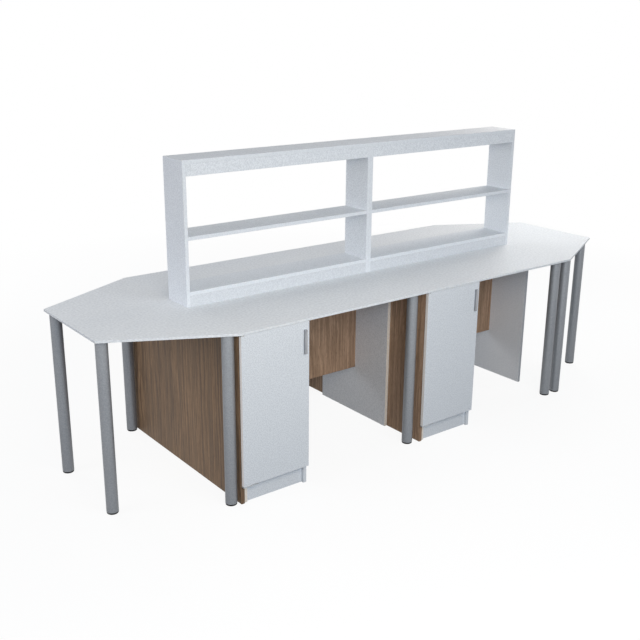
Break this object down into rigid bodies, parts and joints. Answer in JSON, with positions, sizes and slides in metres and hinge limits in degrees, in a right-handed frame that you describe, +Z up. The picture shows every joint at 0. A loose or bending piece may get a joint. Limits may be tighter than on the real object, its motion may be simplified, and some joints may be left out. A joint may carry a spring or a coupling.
{
  "type": "laboratory bench",
  "caption": "Island laboratory bench with tapered end tables, round legs, double-sided cupboards, knee spaces and a see-through reagent shelf along the middle.",
  "frame": {"origin": "on the floor under the middle of the bench", "axes": "+X along the bench towards the end without a wood panel, +Y from the front side to the back side, +Z up"},
  "size_m": [2.98, 1.024, 1.366],
  "materials": {
    "worktop_laminate": "fine matt, pale grey white",
    "white_board": "melamine-faced board, pale grey white",
    "shelf_board": "melamine-faced board, pale grey white",
    "wood_board": "brown wood-grain laminate on board",
    "leg_tube": "satin silver-grey powder coat",
    "foot_plastic": "black moulded",
    "handle_metal": "satin grey",
    "hardware_steel": "zinc plated"
  },
  "bodies": {
    "bench": {"angle_brackets": "hardware_steel", "cabinet_dividers": "white_board", "cabinet_floors": "white_board", "cabinet_liner_left": "white_board", "cabinet_liner_right": "white_board", "cabinet_plinths": "white_board", "cabinet_shelves": "white_board", "cabinet_side_left": "white_board", "cabinet_side_right": "white_board", "leg_nuts": "hardware_steel", "leg_sockets": "hardware_steel", "legs_desk_back": "leg_tube", "legs_desk_front": "leg_tube", "legs_end_left": "leg_tube", "legs_end_right": "leg_tube", "modesty_boards_left": "wood_board", "modesty_boards_right": "wood_board", "pivot_plates": "hardware_steel", "shelf_base_left": "shelf_board", "shelf_base_right": "shelf_board", "shelf_fascias": "shelf_board", "shelf_middle_left": "shelf_board", "shelf_middle_right": "shelf_board", "shelf_top_left": "shelf_board", "shelf_top_right": "shelf_board", "shelf_upright_left_left": "shelf_board", "shelf_upright_left_right": "shelf_board", "shelf_upright_right_left": "shelf_board", "shelf_upright_right_right": "shelf_board", "side_panel_centre": "white_board", "side_panel_right": "white_board", "top_end_left": "worktop_laminate", "top_end_right": "worktop_laminate", "top_main": "worktop_laminate", "wood_panel_centre": "wood_board", "wood_panel_left": "wood_board"},
    "door_back_left": {"door_back_left": "white_board", "handle_back_left": "handle_metal", "pivots_back_left": "hardware_steel"},
    "door_back_right": {"door_back_right": "white_board", "handle_back_right": "handle_metal", "pivots_back_right": "hardware_steel"},
    "door_front_left": {"door_front_left": "white_board", "handle_front_left": "handle_metal", "pivots_front_left": "hardware_steel"},
    "door_front_right": {"door_front_right": "white_board", "handle_front_right": "handle_metal", "pivots_front_right": "hardware_steel"},
    "foot_corner_left_back": {"foot_corner_left_back": "foot_plastic"},
    "foot_corner_left_front": {"foot_corner_left_front": "foot_plastic"},
    "foot_corner_right_back": {"foot_corner_right_back": "foot_plastic"},
    "foot_corner_right_front": {"foot_corner_right_front": "foot_plastic"},
    "foot_desk_left_back": {"foot_desk_left_back": "foot_plastic"},
    "foot_desk_left_front": {"foot_desk_left_front": "foot_plastic"},
    "foot_desk_right_back": {"foot_desk_right_back": "foot_plastic"},
    "foot_desk_right_front": {"foot_desk_right_front": "foot_plastic"},
    "foot_end_left_back": {"foot_end_left_back": "foot_plastic"},
    "foot_end_left_front": {"foot_end_left_front": "foot_plastic"},
    "foot_end_right_back": {"foot_end_right_back": "foot_plastic"},
    "foot_end_right_front": {"foot_end_right_front": "foot_plastic"}
  },
  "joints": [
    {"name": "hinge_front_left", "type": "hinge", "parent": "bench", "child": "door_front_left", "pos_m": [-0.993, -0.493, 0.41], "axis": [0, 0, -1], "range_deg": [0, 105]},
    {"name": "hinge_back_left", "type": "hinge", "parent": "bench", "child": "door_back_left", "pos_m": [-0.993, 0.493, 0.41], "axis": [0, 0, 1], "range_deg": [0, 105]},
    {"name": "hinge_front_right", "type": "hinge", "parent": "bench", "child": "door_front_right", "pos_m": [0.007, -0.493, 0.41], "axis": [0, 0, -1], "range_deg": [0, 105]},
    {"name": "hinge_back_right", "type": "hinge", "parent": "bench", "child": "door_back_right", "pos_m": [0.007, 0.493, 0.41], "axis": [0, 0, 1], "range_deg": [0, 105]},
    {"name": "level_corner_left_back", "type": "slide", "parent": "bench", "child": "foot_corner_left_back", "axis": [0, 0, -1], "range_m": [0, 0.02]},
    {"name": "level_corner_left_front", "type": "slide", "parent": "bench", "child": "foot_corner_left_front", "axis": [0, 0, -1], "range_m": [0, 0.02]},
    {"name": "level_corner_right_back", "type": "slide", "parent": "bench", "child": "foot_corner_right_back", "axis": [0, 0, -1], "range_m": [0, 0.02]},
    {"name": "level_corner_right_front", "type": "slide", "parent": "bench", "child": "foot_corner_right_front", "axis": [0, 0, -1], "range_m": [0, 0.02]},
    {"name": "level_desk_left_back", "type": "slide", "parent": "bench", "child": "foot_desk_left_back", "axis": [0, 0, -1], "range_m": [0, 0.02]},
    {"name": "level_desk_left_front", "type": "slide", "parent": "bench", "child": "foot_desk_left_front", "axis": [0, 0, -1], "range_m": [0, 0.02]},
    {"name": "level_desk_right_back", "type": "slide", "parent": "bench", "child": "foot_desk_right_back", "axis": [0, 0, -1], "range_m": [0, 0.02]},
    {"name": "level_desk_right_front", "type": "slide", "parent": "bench", "child": "foot_desk_right_front", "axis": [0, 0, -1], "range_m": [0, 0.02]},
    {"name": "level_end_left_back", "type": "slide", "parent": "bench", "child": "foot_end_left_back", "axis": [0, 0, -1], "range_m": [0, 0.02]},
    {"name": "level_end_left_front", "type": "slide", "parent": "bench", "child": "foot_end_left_front", "axis": [0, 0, -1], "range_m": [0, 0.02]},
    {"name": "level_end_right_back", "type": "slide", "parent": "bench", "child": "foot_end_right_back", "axis": [0, 0, -1], "range_m": [0, 0.02]},
    {"name": "level_end_right_front", "type": "slide", "parent": "bench", "child": "foot_end_right_front", "axis": [0, 0, -1], "range_m": [0, 0.02]}
  ]
}
